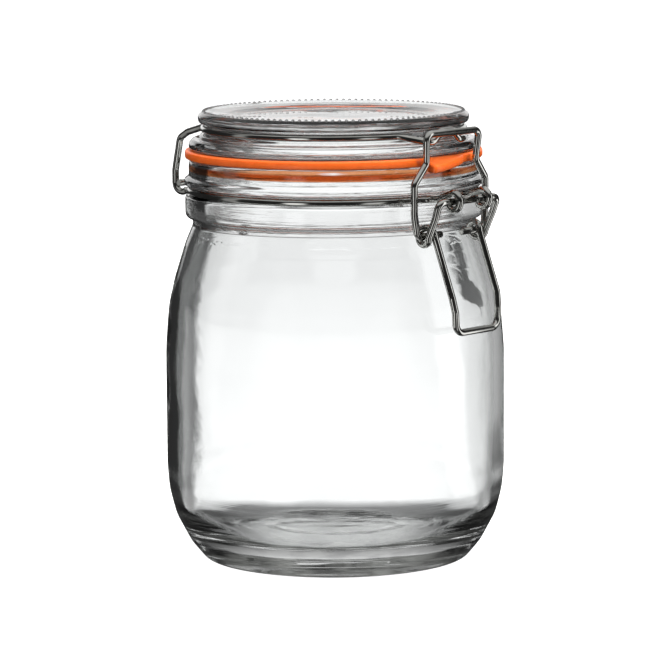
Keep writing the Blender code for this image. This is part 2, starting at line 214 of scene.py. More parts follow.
def pressed_glass(name, tint, edge_shade, ripple_mm, ripple, press_lines=0.0, painted_refraction=None,
                  frost_and_glow=0.0, ior=1.52):
    """Soda-lime glass, pressed in an iron mould and fire polished.

    The polish leaves it glossy with a faint ripple.  It is nearly colourless seen square on,
    with a painted grey shade where the skin turns away from the eye.  A painted band of the
    gasket's colour and a painted glow in the worn underside may be added.
    """
    mat, tree = new_material(name)
    place = add(tree, "TexCoord")
    where = place.outputs["Object"]
    z = add(tree, "SeparateXYZ", links={0: where}).outputs["Z"]
    wave = add(tree, "TexNoise",
               {"Scale": 1.0 / (ripple_mm * MM), "Detail": 2.0, "Roughness": 0.45},
               {"Vector": where})
    # Fine level lines run round the neck, the lid and the heel: noise in patches about
    # 33 mm long and 0.9 mm high.
    flat = add(tree, "Mapping", {"Scale": (30.0, 30.0, 1100.0)}, {"Vector": where})
    lines = add(tree, "TexNoise", {"Scale": 1.0, "Detail": 3.0, "Roughness": 0.6},
                {"Vector": flat})
    neck = add(tree, "MapRange",
               {"From Min": NECK_LINES[0] * MM, "From Max": NECK_LINES[1] * MM,
                "To Max": press_lines}, {"Value": z})
    fade_in = add(tree, "MapRange",
                  {"From Min": HEEL_LINES[0] * MM, "From Max": HEEL_LINES[1] * MM}, {"Value": z})
    fade_out = add(tree, "MapRange",
                   {"From Min": HEEL_LINES[3] * MM, "From Max": HEEL_LINES[2] * MM,
                    "To Max": 0.5 * press_lines}, {"Value": z})
    heel = add(tree, "Math", {"operation": "MULTIPLY"}, {0: fade_out, 1: fade_in})
    streaked = add(tree, "Math", {"operation": "ADD"}, {0: neck, 1: heel})
    lined = add(tree, "Math", {"operation": "MULTIPLY_ADD"}, {0: lines, 1: streaked, 2: wave})
    # A broken parting line marks the joint between the neck ring and the body mould.
    offset = add(tree, "Math", {"operation": "SUBTRACT", 1: PARTING_Z * MM}, {0: z})
    gap = add(tree, "Math", {"operation": "ABSOLUTE"}, {0: offset})
    ridge = add(tree, "MapRange",
                {"From Min": 0.4 * MM, "From Max": 0.1 * MM, "To Max": 2.5}, {"Value": gap})
    breaks = add(tree, "TexNoise", {"Scale": 1.0 / (5.0 * MM), "Detail": 2.0}, {"Vector": where})
    kept = add(tree, "MapRange", {"From Min": 0.52, "From Max": 0.6}, {"Value": breaks})
    height = add(tree, "Math", {"operation": "MULTIPLY_ADD"}, {0: ridge, 1: kept, 2: lined})
    bump = add(tree, "Bump", {"Strength": ripple, "Distance": 0.05 * MM}, {"Height": height})
    # Painted shade: the glass is tinted towards its edge colour as its skin turns away from the
    # eye.
    facing = add(tree, "LayerWeight", {"Blend": 0.5})
    edge_shades = [(turn, tuple(a + (b - a) * share for a, b in zip(linear(tint), linear(edge_shade))))
             for turn, share in EDGE_SHADE]
    colour = add(tree, "ValToRGB", links={"Fac": facing.outputs["Facing"]}, stops=edge_shades)
    if painted_refraction:
        # Painted refraction: the gasket's colour is painted as a streaky band in the glass under
        # the rim, where the rim would bend it into view.
        band_low, band_high, hue = painted_refraction
        band = add(tree, "MapRange",
                   {"From Min": band_low * MM, "From Max": band_high * MM}, {"Value": z})
        profile = ((0.0, 0.0), (0.12, 1.0), (0.8, 1.0), (0.92, 0.6), (1.0, 0.0))
        share = add(tree, "ValToRGB", links={"Fac": band},
                    stops=[(up, toned((1.0, 1.0, 1.0), level)) for up, level in profile])
        squash = add(tree, "Mapping", {"Scale": (60.0, 60.0, 900.0)}, {"Vector": where})
        streaks = add(tree, "TexNoise", {"Scale": 1.0, "Detail": 3.0}, {"Vector": squash})
        patchy = add(tree, "MapRange", {"From Min": 0.25, "From Max": 0.42}, {"Value": streaks})
        amount = add(tree, "Math", {"operation": "MULTIPLY"}, {0: share, 1: patchy})
        colour = add(tree, "Mix", {"data_type": "RGBA", 7: linear(hue)},
                     {0: amount, 6: colour}).outputs[2]
    shader = add(tree, "BsdfPrincipled",
                 {"Roughness": 0.0, "IOR": ior, "Transmission Weight": 1.0},
                 {"Base Color": colour, "Normal": bump})
    surface = shader
    if frost_and_glow:
        # The underside is stippled by the mould and worn by standing on shelves.
        face = add(tree, "SeparateXYZ", links={0: place.outputs["Normal"]})
        upright = add(tree, "Math", {"operation": "ABSOLUTE"}, {0: face.outputs["Z"]})
        down = add(tree, "MapRange", {"From Min": 0.7, "From Max": 0.9}, {"Value": upright})
        under = add(tree, "MapRange",
                    {"From Min": WORN_Z[1] * MM, "From Max": WORN_Z[0] * MM, "To Max": frost_and_glow},
                    {"Value": z})
        wear_and_glow = add(tree, "Math", {"operation": "MULTIPLY"}, {0: down, 1: under})
        tree.links.new(wear_and_glow.outputs[0], shader.inputs["Roughness"])
        # Painted light: its fine pits are given a streaky glow, as if catching the light of
        # whatever it stands on.
        pits = add(tree, "TexNoise", {"Scale": 1.0 / (8.0 * MM), "Detail": 4.0},
                   {"Vector": where})
        glow = add(tree, "ValToRGB", links={"Fac": pits},
                   stops=[(0.42, linear("#30312F")), (0.56, linear("#E6E8E4"))])
        # The painted glow is brightest along the camera's line of sight and dull to its left and
        # right.
        across = add(tree, "VectorMath",
                     {"operation": "DOT_PRODUCT", 1: (-0.669, 0.743, 0.0)}, {0: where})
        aside = add(tree, "Math", {"operation": "ABSOLUTE"}, {0: across.outputs["Value"]})
        dull = add(tree, "MapRange",
                   {"From Min": 14.0 * MM, "From Max": 34.0 * MM, "To Min": 1.0, "To Max": 0.05},
                   {"Value": aside})
        painted_glow = add(tree, "Emission", links={"Color": glow, "Strength": dull})
        lit = add(tree, "Math", {"operation": "MULTIPLY", 1: 0.16 / frost_and_glow}, {0: wear_and_glow})
        surface = add(tree, "MixShader", links={0: lit, 1: surface, 2: painted_glow})
    add(tree, "OutputMaterial", links={"Surface": surface})
    return mat


def moulded_rubber(name, colour):
    """Natural rubber, pressed in a mould: a soft sheen with a fine bloom and grain."""
    mat, tree = new_material(name)
    place = add(tree, "TexCoord")
    bloom = add(tree, "TexNoise",
                {"Scale": 1.0 / (3.0 * MM), "Detail": 3.0, "Roughness": 0.6},
                {"Vector": place.outputs["Object"]})
    base = linear(colour)
    tone = add(tree, "ValToRGB", links={"Fac": bloom},
               stops=[(0.25, toned(base, 0.86)), (0.8, toned(base, 1.05, 0.012))])
    grain = add(tree, "TexNoise", {"Scale": 1.0 / (0.35 * MM), "Detail": 2.0},
                {"Vector": place.outputs["Object"]})
    bump = add(tree, "Bump", {"Strength": 0.25, "Distance": 0.05 * MM}, {"Height": grain})
    shader = add(tree, "BsdfPrincipled",
                 {"Roughness": 0.42, "IOR": 1.52, "Subsurface Weight": 0.15,
                  "Subsurface Radius": (0.8 * MM, 0.3 * MM, 0.1 * MM),
                  "Subsurface Scale": 1.0},
                 {"Base Color": tone, "Normal": bump})
    add(tree, "OutputMaterial", links={"Surface": shader})
    return mat


def drawn_steel(name, colour, roughness):
    """Stainless steel wire, drawn through a die: bright, with fine lines along its length."""
    mat, tree = new_material(name)
    place = add(tree, "TexCoord")
    # The UV map runs round the wire and along it, both in millimetres, so the lines are
    # a quarter of a millimetre wide and about 8 mm long.
    lines = add(tree, "Mapping", {"Scale": (4.0, 0.12, 1.0)}, {"Vector": place.outputs["UV"]})
    streak = add(tree, "TexNoise", {"Scale": 1.0, "Detail": 3.0, "Roughness": 0.6},
                 {"Vector": lines})
    dull = add(tree, "TexNoise", {"Scale": 1.0 / (5.0 * MM), "Detail": 2.0},
               {"Vector": place.outputs["Object"]})
    base = linear(colour)
    tone = add(tree, "ValToRGB", links={"Fac": dull},
               stops=[(0.3, toned(base, 0.72)), (0.7, base)])
    rough = add(tree, "MapRange",
                {"From Min": 0.3, "From Max": 0.7, "To Min": roughness * 0.75,
                 "To Max": roughness * 1.35}, {"Value": streak})
    bump = add(tree, "Bump", {"Strength": 0.35, "Distance": 0.02 * MM}, {"Height": streak})
    shader = add(tree, "BsdfPrincipled", {"Metallic": 1.0},
                 {"Base Color": tone, "Roughness": rough, "Normal": bump})
    add(tree, "OutputMaterial", links={"Surface": shader})
    return mat


# ---- outlines and turned bodies ---------------------------------------------------------
def fillet(before, corner, after, radius, steps=8):
    """Points of an arc of the given radius that rounds one corner of an outline."""
    corner, before, after = Vector(corner), Vector(before), Vector(after)
    to_a, to_b = (before - corner).normalized(), (after - corner).normalized()
    half = to_a.angle(to_b) / 2.0
    # The arc takes under half of each run beside it, so that two arcs never meet.
    reach = min(radius / math.tan(half), 0.49 * (before - corner).length,
                0.49 * (after - corner).length)
    radius = reach * math.tan(half)
    centre = corner + (to_a + to_b).normalized() * (radius / math.sin(half))
    first, last = corner + to_a * reach, corner + to_b * reach
    start = math.atan2(first.y - centre.y, first.x - centre.x)
    sweep = math.atan2(last.y - centre.y, last.x - centre.x) - start
    sweep = (sweep + math.pi) % (2 * math.pi) - math.pi
    angles = [start + sweep * i / steps for i in range(steps + 1)]
    return [(centre.x + radius * math.cos(a), centre.y + radius * math.sin(a))
            for a in angles]


def outline(corners, step, rounds):
    """Points of a closed outline: corners (radius, height, fillet) rounded, cut fine, eased."""
    points = []
    count = len(corners)
    for i, (r, z, rounding) in enumerate(corners):
        if rounding == 0:
            points.append((r, z))
        else:
            points += fillet(corners[i - 1][:2], (r, z), corners[(i + 1) % count][:2],
                             rounding)
    fine = []
    for a, b in zip(points, points[1:] + points[:1]):
        if a[0] == 0.0 and b[0] == 0.0:
            fine.append(a)
            continue
        cuts = max(1, math.ceil(math.dist(a, b) / step))
        fine += [(a[0] + (b[0] - a[0]) * k / cuts, a[1] + (b[1] - a[1]) * k / cuts)
                 for k in range(cuts)]
    for _ in range(rounds):
        eased = []
        for i, (r, z) in enumerate(fine):
            before, after = fine[i - 1], fine[(i + 1) % len(fine)]
            if r == 0.0:
                eased.append((r, z))
            else:
                eased.append(((before[0] + 2 * r + after[0]) / 4,
                              (before[1] + 2 * z + after[1]) / 4))
        fine = eased
    return fine


def placed(name, data):
    """An object made of a mesh, a lamp or a camera, linked to the scene."""
    obj = bpy.data.objects.new(name, data)
    bpy.context.scene.collection.objects.link(obj)
    return obj


def skin(rings, closed=True):
    """Faces from each ring of vertices to the next; a ring may be one vertex repeated."""
    faces = []
    for near, far in zip(rings, rings[1:] + rings[:1] if closed else rings[1:]):
        for k in range(len(near)):
            j = (k + 1) % len(near)
            corners = list(dict.fromkeys((near[k], near[j], far[j], far[k])))
            if len(corners) > 2:
                faces.append(corners)
    return faces


def finished(name, verts, faces):
    """An object with outward normals and smooth shading."""
    mesh = bpy.data.meshes.new(name)
    mesh.from_pydata(verts, [], faces)
    shell = bmesh.new()
    shell.from_mesh(mesh)
    bmesh.ops.recalc_face_normals(shell, faces=shell.faces)
    shell.to_mesh(mesh)
    shell.free()
    mesh.shade_smooth()
    return placed(name, mesh)


def turned(name, points, turns, nudge):
    """A closed body turned about Z; nudge(angle, r, z, index) gives a point's new (r, z)."""
    verts, rings = [], []
    for index, (r, z) in enumerate(points):
        if r < ON_AXIS:
            rings.append([len(verts)] * turns)
            verts.append((0.0, 0.0, z * MM))
            continue
        rings.append(list(range(len(verts), len(verts) + turns)))
        for k in range(turns):
            angle = 2 * math.pi * k / turns
            new_r, new_z = nudge(angle, r, z, index)
            verts.append((new_r * MM * math.cos(angle), new_r * MM * math.sin(angle),
                          new_z * MM))
    return finished(name, verts, skin(rings))


def dress(obj, mat, body, slot, *nodes):
    """Give a piece its material, hang it on the body it rides on, and hide the model's parts
    that it stands for.
    """
    obj.data.materials.clear()
    obj.data.materials.append(mat)
    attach(obj, body)
    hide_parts(*nodes)
    return obj


# ---- wires ------------------------------------------------------------------------------
def bend(points, radius, steps=9):
    """Round the inner corners of a 3-D path, each with an arc of the given radius."""
    path = [Vector(points[0])]
    for a, b, c in zip(points, points[1:], points[2:]):
        a, b, c = Vector(a), Vector(b), Vector(c)
        to_a, to_c = (a - b).normalized(), (c - b).normalized()
        half = to_a.angle(to_c) / 2.0
        if half > math.radians(88.5):
            # A corner this nearly straight needs no arc.
            path.append(b)
            continue
        reach = min(radius / math.tan(half), 0.45 * (a - b).length, 0.45 * (c - b).length)
        arc_r = reach * math.tan(half)
        centre = b + (to_a + to_c).normalized() * (arc_r / math.sin(half))
        first, last = b + to_a * reach - centre, b + to_c * reach - centre
        sweep = first.angle(last)
        for i in range(steps + 1):
            share = i / steps
            blend = (math.sin((1 - share) * sweep) * first + math.sin(share * sweep) * last)
            path.append(centre + blend / math.sin(sweep))
    path.append(Vector(points[-1]))
    return path


def arc_yz(centre, x_from, x_to, radius, deg_from, deg_to, steps):
    """Points turning about an axis along X; the x coordinate moves evenly as they turn."""
    cy, cz = centre
    path = []
    for i in range(steps + 1):
        share = i / steps
        angle = math.radians(deg_from + (deg_to - deg_from) * share)
        path.append(Vector((x_from + (x_to - x_from) * share,
                            cy + radius * math.cos(angle), cz + radius * math.sin(angle))))
    return path


def ring(radius, height, deg_from, deg_to):
    """Points along a level ring; 0 degrees is +X and -90 degrees is the clasp's side."""
    count = max(1, round(abs(deg_to - deg_from) / 2.0))     # a point every 2 degrees
    angles = [math.radians(deg_from + (deg_to - deg_from) * i / count)
              for i in range(count + 1)]
    return [Vector((radius * math.cos(a), radius * math.sin(a), height)) for a in angles]


def mirrored(path):
    """The same path on the other side of the jar's middle plane, run the other way."""
    return [Vector((-p.x, p.y, p.z)) for p in reversed(path)]


def drawn_wire(name, path):
    """A round wire swept along a path in millimetres, with sheared ends and a UV map."""
    radius, sides = WIRE_R, bpy.context.scene.clip_wire.sides
    clean = [path[0]]
    for point in path[1:]:
        if (point - clean[-1]).length > 0.02:
            clean.append(point)
    # The ends are sheared off: a slight bevel runs in to a flat disc.
    bevel, sheared_r = 0.18, radius * 0.8
    out_start = (clean[0] - clean[1]).normalized()
    out_end = (clean[-1] - clean[-2]).normalized()
    stations = [(clean[0], sheared_r), (clean[0] - out_start * bevel, radius)]
    stations += [(p, radius) for p in clean[1:-1]]
    stations += [(clean[-1] - out_end * bevel, radius), (clean[-1], sheared_r)]
    shell = bmesh.new()
    uv = shell.loops.layers.uv.new("wire")
    normal = out_start.orthogonal().normalized()
    rings, along = [], [0.0]
    for i, (point, width) in enumerate(stations):
        if i == 0:
            heading = (stations[1][0] - point).normalized()
        elif i == len(stations) - 1:
            heading = (point - stations[i - 1][0]).normalized()
        else:
            heading = ((stations[i + 1][0] - point).normalized()
                       + (point - stations[i - 1][0]).normalized()).normalized()
        normal = (normal - heading * normal.dot(heading)).normalized()
        side = heading.cross(normal)
        if i:
            along.append(along[-1] + (point - stations[i - 1][0]).length)
        rings.append([shell.verts.new((point + (normal * math.cos(a) + side * math.sin(a))
                                       * width) * MM)
                      for a in (2 * math.pi * k / sides for k in range(sides))])
    girth = 2 * math.pi * radius
    for i, (near, far) in enumerate(zip(rings, rings[1:])):
        for k in range(sides):
            j = (k + 1) % sides
            face = shell.faces.new((near[k], near[j], far[j], far[k]))
            spots = [(k, i), (k + 1, i), (k + 1, i + 1), (k, i + 1)]
            for loop, (around, station) in zip(face.loops, spots):
                loop[uv].uv = (girth * around / sides, along[station])
    for end, point in ((rings[0], stations[0][0]), (rings[-1], stations[-1][0])):
        hub = shell.verts.new(point * MM)
        for k in range(sides):
            shell.faces.new((hub, end[k], end[(k + 1) % sides]))
    bmesh.ops.recalc_face_normals(shell, faces=shell.faces)
    for face in shell.faces:
        face.smooth = True
    for end in (rings[0], rings[-1]):
        for k in range(sides):
            edge = shell.edges.get((end[k], end[(k + 1) % sides]))
            edge.smooth = False
    mesh = bpy.data.meshes.new(name)
    shell.to_mesh(mesh)
    shell.free()
    return placed(name, mesh)


def joined(target, others):
    """Put the meshes of other objects into the target's."""
    shell = bmesh.new()
    for obj in [target] + others:
        shell.from_mesh(obj.data)
    shell.to_mesh(target.data)
    shell.free()
    for obj in others:
        bpy.data.objects.remove(obj, do_unlink=True)
    return target


# ---- jar --------------------------------------------------------------------------------
def jar_corners(sizes):
    """Outside of the jar from rim to foot, then the inside from floor to mouth."""
    body, inner, floor = sizes.body_r, sizes.body_r - sizes.wall, sizes.floor_z
    lip_z, lip_r, bead_r, collar_r, mouth_r = 125.1, 45.2, 46.6, 46.4, 40.0
    wire_z, groove_r = NECK_WIRE_Z, NECK_WIRE_R - WIRE_R - PLAY
    return [
        (lip_r, lip_z, 1.3),
        (lip_r, lip_z - 5.2, 0.8),
        (bead_r, lip_z - 6.1, 0.9),
        (bead_r, wire_z + 1.7, 0.7),
        (groove_r, wire_z + 1.0, 0.5),
        (groove_r, wire_z - 1.0, 0.5),
        (collar_r, wire_z - 1.8, 0.8),
        (collar_r, 107.2, 2.0),
        (44.1, 106.6, 0.6),
        (44.1, 104.6, 3.0),
        (46.6, 98.6, 12.0),
        (49.9, 88.2, 24.0),
        (51.9, 79.5, 28.0),
        (body, 66.0, 60.0),
        (body, 29.0, 40.0),
        (52.4, 21.5, 22.0),
        (50.4, 13.6, 15.0),
        (45.9, 5.2, 9.0),
        (41.6, 0.0, 1.8),
        (38.2, 0.0, 1.4),
        (33.0, 1.6, 3.0),
        (0.0, 2.6, 0),
        (0.0, floor - 0.4, 0),
        (16.5, floor - 0.4, 8.0),
        (19.5, floor + 0.25, 3.0),
        (23.0, floor - 0.4, 6.0),
        (29.0, floor - 0.3, 4.0),
        (31.5, floor + 0.55, 2.0),
        (34.5, floor + 0.1, 5.0),
        (38.2, floor + 0.7, 24.0),
        (42.6, floor + 2.9, 20.0),
        (46.2, floor + 6.6, 18.0),
        (48.6, floor + 11.2, 20.0),
        (inner - 0.1, 23.0, 30.0),
        (inner, 30.0, 60.0),
        (inner, 66.0, 60.0),
        (49.1, 79.0, 34.0),
        (47.1, 87.5, 26.0),
        (43.9, 97.7, 14.0),
        (mouth_r, 107.5, 9.0),
        (mouth_r, lip_z, 1.3),
    ]


class CLIPJAR_OT_jar_glass(Operator):
    """Build the glass jar: wall, thick base, neck with its wire groove, and mould seams"""
    bl_idname = "clipjar.jar_glass"
    bl_label = "Jar glass"

    def execute(self, context):
        sizes = context.scene.clip_jar
        points = outline(jar_corners(sizes), step=0.9, rounds=6)
        outer_points = min(i for i, (r, z) in enumerate(points) if r < ON_AXIS)
        seams = [math.radians(a) for a in SEAMS]

        def nudge(angle, r, z, index):
            where = Vector((r * math.cos(angle), r * math.sin(angle), z))
            # The neck is pressed true, and the body below it wanders.
            loose = clamped((101.0 - z) / 12.0)
            if index < outer_points:
                wander = noise.noise(where / 26.0) * sizes.wave_out * loose
                rise = 0.0
                for seam in seams:
                    off = math.remainder(angle - seam, 2 * math.pi) * r
                    rise += sizes.seam * math.exp(-(off / 0.55) ** 2)
                # A seam is uneven, and dies out where the body is at its widest.
                broken = 0.55 + 0.45 * noise.noise(Vector((seams[0], z / 2.5, r / 4.0)))
                inside = clamped((sizes.body_r - r) / 0.25)
                return r + (wander - sizes.wave_out) * loose + rise * broken * inside, z
            # The inner skin flows more in the thick heel than in the wall.
            flow = noise.noise(where / 19.0) + 0.4 * noise.noise(where / 8.0)
            heel = clamped((34.0 - z) / 16.0)
            lift = flow * sizes.wave_in * loose * (0.35 + 0.65 * heel)
            if r < 40.0:
                return r, z + lift
            return r + lift * (1.0 - 0.6 * heel), z + lift * heel

        obj = turned("storage_jar", points, sizes.turns, nudge)
        # Painted refraction: the gasket's colour, painted as a band in the glass under the rim.
        painted_gasket_band = (121.5, 123.9, "#B44A1A")
        mat = pressed_glass("soda_lime_glass_jar", sizes.tint, sizes.edge_shade, ripple_mm=6.0,
                            ripple=0.3, press_lines=3.0, painted_refraction=painted_gasket_band, frost_and_glow=0.12)
        dress(obj, mat, "jar", "glass", "jar_glass")
        return {"FINISHED"}


# ---- lid --------------------------------------------------------------------------------
def lid_corners():
    """The lid: rim with a wire groove, flange, boss, and a hollow underside."""
    top, base, wire_z = 140.2, 128.2, LID_WIRE_Z
    groove_r = LID_WIRE_R - WIRE_R - PLAY
    return [
        (0.0, top - 2.4, 0),
        (30.0, top - 2.3, 6.0),
        (33.2, top - 1.3, 2.0),
        (37.6, top - 0.8, 2.0),
        (39.2, top - 0.4, 0.8),
        (41.0, top - 0.4, 0.9),
        (42.3, top - 1.7, 1.2),
        (42.0, wire_z + 1.9, 1.0),
        (groove_r, wire_z + 1.2, 0.6),
        (groove_r, wire_z - 1.2, 0.6),
        (41.9, wire_z - 1.9, 0.8),
        (41.9, wire_z - 3.2, 0.8),
        (44.0, base + 3.2, 1.0),
        (45.1, base + 1.8, 0.9),
        (45.1, base, 0.8),
        (38.6, base, 0.5),
        (38.0, base - 2.4, 0.9),
        (35.2, base - 2.4, 0.9),
        (33.0, 133.4, 5.0),
        (0.0, 134.2, 0),
    ]


class CLIPJAR_OT_lid_glass(Operator):
    """Build the glass lid with its wire groove, hollow underside and beaded top edge"""
    bl_idname = "clipjar.lid_glass"
    bl_label = "Lid glass"

    def execute(self, context):
        sizes, jar = context.scene.clip_lid, context.scene.clip_jar
        points = outline(lid_corners(), step=0.6, rounds=4)

        def nudge(angle, r, z, index):
            where = Vector((r * math.cos(angle), r * math.sin(angle), z * 2.0))
            inner = clamped((38.0 - r) / 6.0)
            lift = noise.noise(where / 11.0) * (0.03 + 0.12 * inner)
            return r, z + min(0.0, lift - 0.03)

        obj = turned("jar_lid", points, jar.turns, nudge)
        # Small round beads stand in a ring on the lid's top edge.
        beads, bead_z = bmesh.new(), 139.66
        beads.from_mesh(obj.data)
        for k in range(sizes.beads):
            angle = 2 * math.pi * k / sizes.beads
            spot = Vector((sizes.top_r * math.cos(angle), sizes.top_r * math.sin(angle),
                           bead_z)) * MM
            bead = bmesh.ops.create_icosphere(beads, subdivisions=2, radius=sizes.bead_r * MM,
                                              matrix=Matrix.Translation(spot))
            for vert in bead["verts"]:
                for face in vert.link_faces:
                    face.material_index = 1
        for face in beads.faces:
            face.smooth = True
        beads.to_mesh(obj.data)
        beads.free()
        mat = pressed_glass("soda_lime_glass_lid", jar.tint, jar.edge_shade, ripple_mm=3.0,
                            ripple=0.3, press_lines=3.0)
        dress(obj, mat, "lid", "glass", "lid_glass")
        # Painted shade: the beading is tinted nearly black and bends light less, so that each
        # bead shows as a dark dot.
        obj.data.materials.append(pressed_glass("soda_lime_glass_beading", "#0C0C0B", "#060606",
                                                ripple_mm=3.0, ripple=0.2, ior=1.18))
        return {"FINISHED"}


# ---- gasket -----------------------------------------------------------------------------
class CLIPJAR_OT_gasket(Operator):
    """Build the rubber gasket: a flat ring with eased edges and a drooping pull tab"""
    bl_idname = "clipjar.gasket"
    bl_label = "Gasket"

    def execute(self, context):
        sizes = context.scene.clip_gasket
        low, high, inner = 125.3, 127.95, 41.2
        turns, tab_left, tab_right, droop, wander = 720, 9.6, 8.0, 1.75, 0.06
        middle = (low + high) / 2
        # The cross-section, as (share of the ring's width, share of its thickness).
        corners = [(0.02, 0.0), (0.0, 0.12), (0.0, 0.88), (0.02, 1.0), (0.5, 1.0),
                   (0.86, 0.995), (0.96, 0.95), (0.995, 0.82), (1.0, 0.5), (0.995, 0.18),
                   (0.96, 0.05), (0.86, 0.005), (0.5, 0.0)]
        verts = []
        for k in range(turns):
            angle = 2 * math.pi * k / turns
            off = math.remainder(angle + math.pi / 2, 2 * math.pi)
            along = off * sizes.out_r
            # The tab ends nearly square at -X and runs back into the ring towards +X.
            taper = clamped((tab_right - along) / (tab_right + tab_left))
            push = min(clamped((along + tab_left + 0.3) / 0.8), taper ** 0.6)
            flat_end = sizes.tab_r / max(0.2, math.cos(off))
            reach = sizes.out_r + (min(flat_end, sizes.tab_r + 0.4) - sizes.out_r) * push
            for w, t in corners:
                r = inner + (reach - inner) * w
                out = max(0.0, r - sizes.out_r)
                # The tab hangs lower towards its -X end.
                z = low + (high - low) * t - droop * taper * min(1.0, out / 2.5)
                if out == 0.0 and w > 0.9:
                    # The ring's outer edge is pressed a little thinner.
                    z = middle + (z - middle) * 0.94
                new_r = r + wander * (noise.noise(Vector((angle * 7.0, w, t))) - 1.0)
                verts.append((new_r * MM * math.cos(angle), new_r * MM * math.sin(angle),
                              z * MM))
        rings = [range(i, len(verts), len(corners)) for i in range(len(corners))]
        obj = finished("gasket_ring", verts, skin(rings))
        mat = moulded_rubber("natural_rubber_gasket", sizes.rubber)
        dress(obj, mat, "jar", "rubber", "gasket")
        return {"FINISHED"}


# ---- closure wires ----------------------------------------------------------------------
def steel():
    """The one steel that every wire is drawn from."""
    found = bpy.data.materials.get("stainless_steel_wire")
    wires = bpy.context.scene.clip_wire
    return found or drawn_steel("stainless_steel_wire", wires.steel, wires.roughness)


def neck_side():
    """Half of the neck wire, from the cut end of a front eye to the back of the neck."""
    eye_x = 6.9
    eye = arc_yz((PIVOT_Y, PIVOT_Z), eye_x, eye_x, LOOP_R, -35.0, -300.0, 40)
    leave = Vector((eye_x, -math.sqrt(NECK_WIRE_R ** 2 - eye_x ** 2), NECK_WIRE_Z))
    start = math.degrees(math.atan2(leave.y, leave.x))
    along = ring(NECK_WIRE_R, NECK_WIRE_Z, start + 5.0, 90.0)
    run_in = [eye[-1], (eye_x, -50.9, 116.6), (eye_x, -49.0, 115.6),
              leave + Vector((0.4, -1.0, 0.0)), along[0]]
    return eye[:-1] + bend(run_in, 3.0)[:-1] + along


def hinge_pin(side):
    """One rear pin: out from the neck wire, then sideways to its cut end."""
    root_x, root_y, tip_x = 5.6, 44.1, HOOK_X + WIRE_R + 0.6
    return bend([(side * root_x, root_y, NECK_WIRE_Z),
                 (side * root_x, HINGE_Y, HINGE_Z),
                 (side * tip_x, HINGE_Y, HINGE_Z)], 2.0)


def lid_side():
    """Half of the lid wire, from the middle of the front hump to a rear hook's end."""
    hump_y, low_z, high_z = -46.1, 132.9, 135.8
    front = bend([(0.0, hump_y, high_z),
                  (2.6, hump_y, high_z),
                  (6.0, hump_y, low_z),
                  (8.6, hump_y + 0.6, low_z),
                  (11.2, -40.2, LID_WIRE_Z - 0.5)], 2.2)[:-1]
    front_x, rear_x = 13.4, 12.6
    in_groove = math.degrees(math.atan2(-math.sqrt(LID_WIRE_R ** 2 - front_x ** 2), front_x))
    out_groove = math.degrees(math.atan2(math.sqrt(LID_WIRE_R ** 2 - rear_x ** 2), rear_x))
    along = ring(LID_WIRE_R, LID_WIRE_Z, in_groove, out_groove)
    hook_r = LOOP_R + 0.4
    leg = bend([along[-1],
                (HOOK_X, 42.4, LID_WIRE_Z - 0.7),
                (HOOK_X, 52.2, 131.0),
                (HOOK_X, 55.6, 129.0),
                (HOOK_X, HINGE_Y + hook_r, 118.5),
                (HOOK_X, HINGE_Y + hook_r, HINGE_Z)], 2.6)[1:]
    hook = arc_yz((HINGE_Y, HINGE_Z), HOOK_X, HOOK_X, hook_r, 0.0, -140.0, 24)[1:]
    return front + along + leg + hook


def lever_side(side, pin_end):
    """Half of the lever: pin in the eye, arm, one full turn of coil, handle leg."""
    arm_x, handle_x, grip_y, grip_z = 13.3, 10.5, -57.9, 75.8
    coil = arc_yz((COIL_Y, COIL_Z), side * arm_x, side * handle_x, LOOP_R,
                  180.0, 540.0, 48)
    arm = bend([(pin_end, PIVOT_Y, PIVOT_Z),
                (side * (arm_x + 0.5), PIVOT_Y, PIVOT_Z),
                (side * (arm_x + 0.1), PIVOT_Y + 1.6, PIVOT_Z - 4.6),
                coil[0]], 2.0)
    leg = bend([coil[-1],
                (side * handle_x, -57.1, 86.4),
                (side * (handle_x - 0.5), grip_y, 82.0),
                (side * (handle_x - 0.9), grip_y, grip_z),
                (0.0, grip_y, grip_z)], 3.2)
    return arm[:-1] + coil + leg[1:]


def link_side():
    """Half of the link: from the middle of the top bar down to the pin in the coil."""
    top_y, top_z, top_x, waist_x, wide_x, coil_x = -48.6, 135.5, 12.3, 11.5, 16.6, 15.6
    waist_y, wide_y, pin_x = -47.9, -47.4, 4.7
    return bend([(0.0, top_y, top_z),
                 (top_x, top_y, top_z),
                 (waist_x, waist_y, 126.6),
                 (wide_x, wide_y, 120.6),
                 (wide_x, wide_y, 111.5),
                 (coil_x, COIL_Y, COIL_Z),
                 (pin_x, COIL_Y, COIL_Z)], 2.2)


class CLIPJAR_OT_neck_wire(Operator):
    """Build the wire round the jar's neck, with its front eyes and rear hinge pins"""
    bl_idname = "clipjar.neck_wire"
    bl_label = "Neck wire"

    def execute(self, context):
        half = neck_side()
        band = drawn_wire("neck_wire", half + mirrored(half)[1:])
        pins = [drawn_wire("neck_pin", hinge_pin(side)) for side in (-1, 1)]
        dress(joined(band, pins), steel(), "jar", "wire", "neck_band")
        return {"FINISHED"}


class CLIPJAR_OT_lid_wire(Operator):
    """Build the wire in the lid's groove, with its front hump and rear hooks"""
    bl_idname = "clipjar.lid_wire"
    bl_label = "Lid wire"

    def execute(self, context):
        half = lid_side()
        band = drawn_wire("lid_wire", mirrored(half)[:-1] + half)
        dress(band, steel(), "lid", "wire", "lid_band")
        return {"FINISHED"}


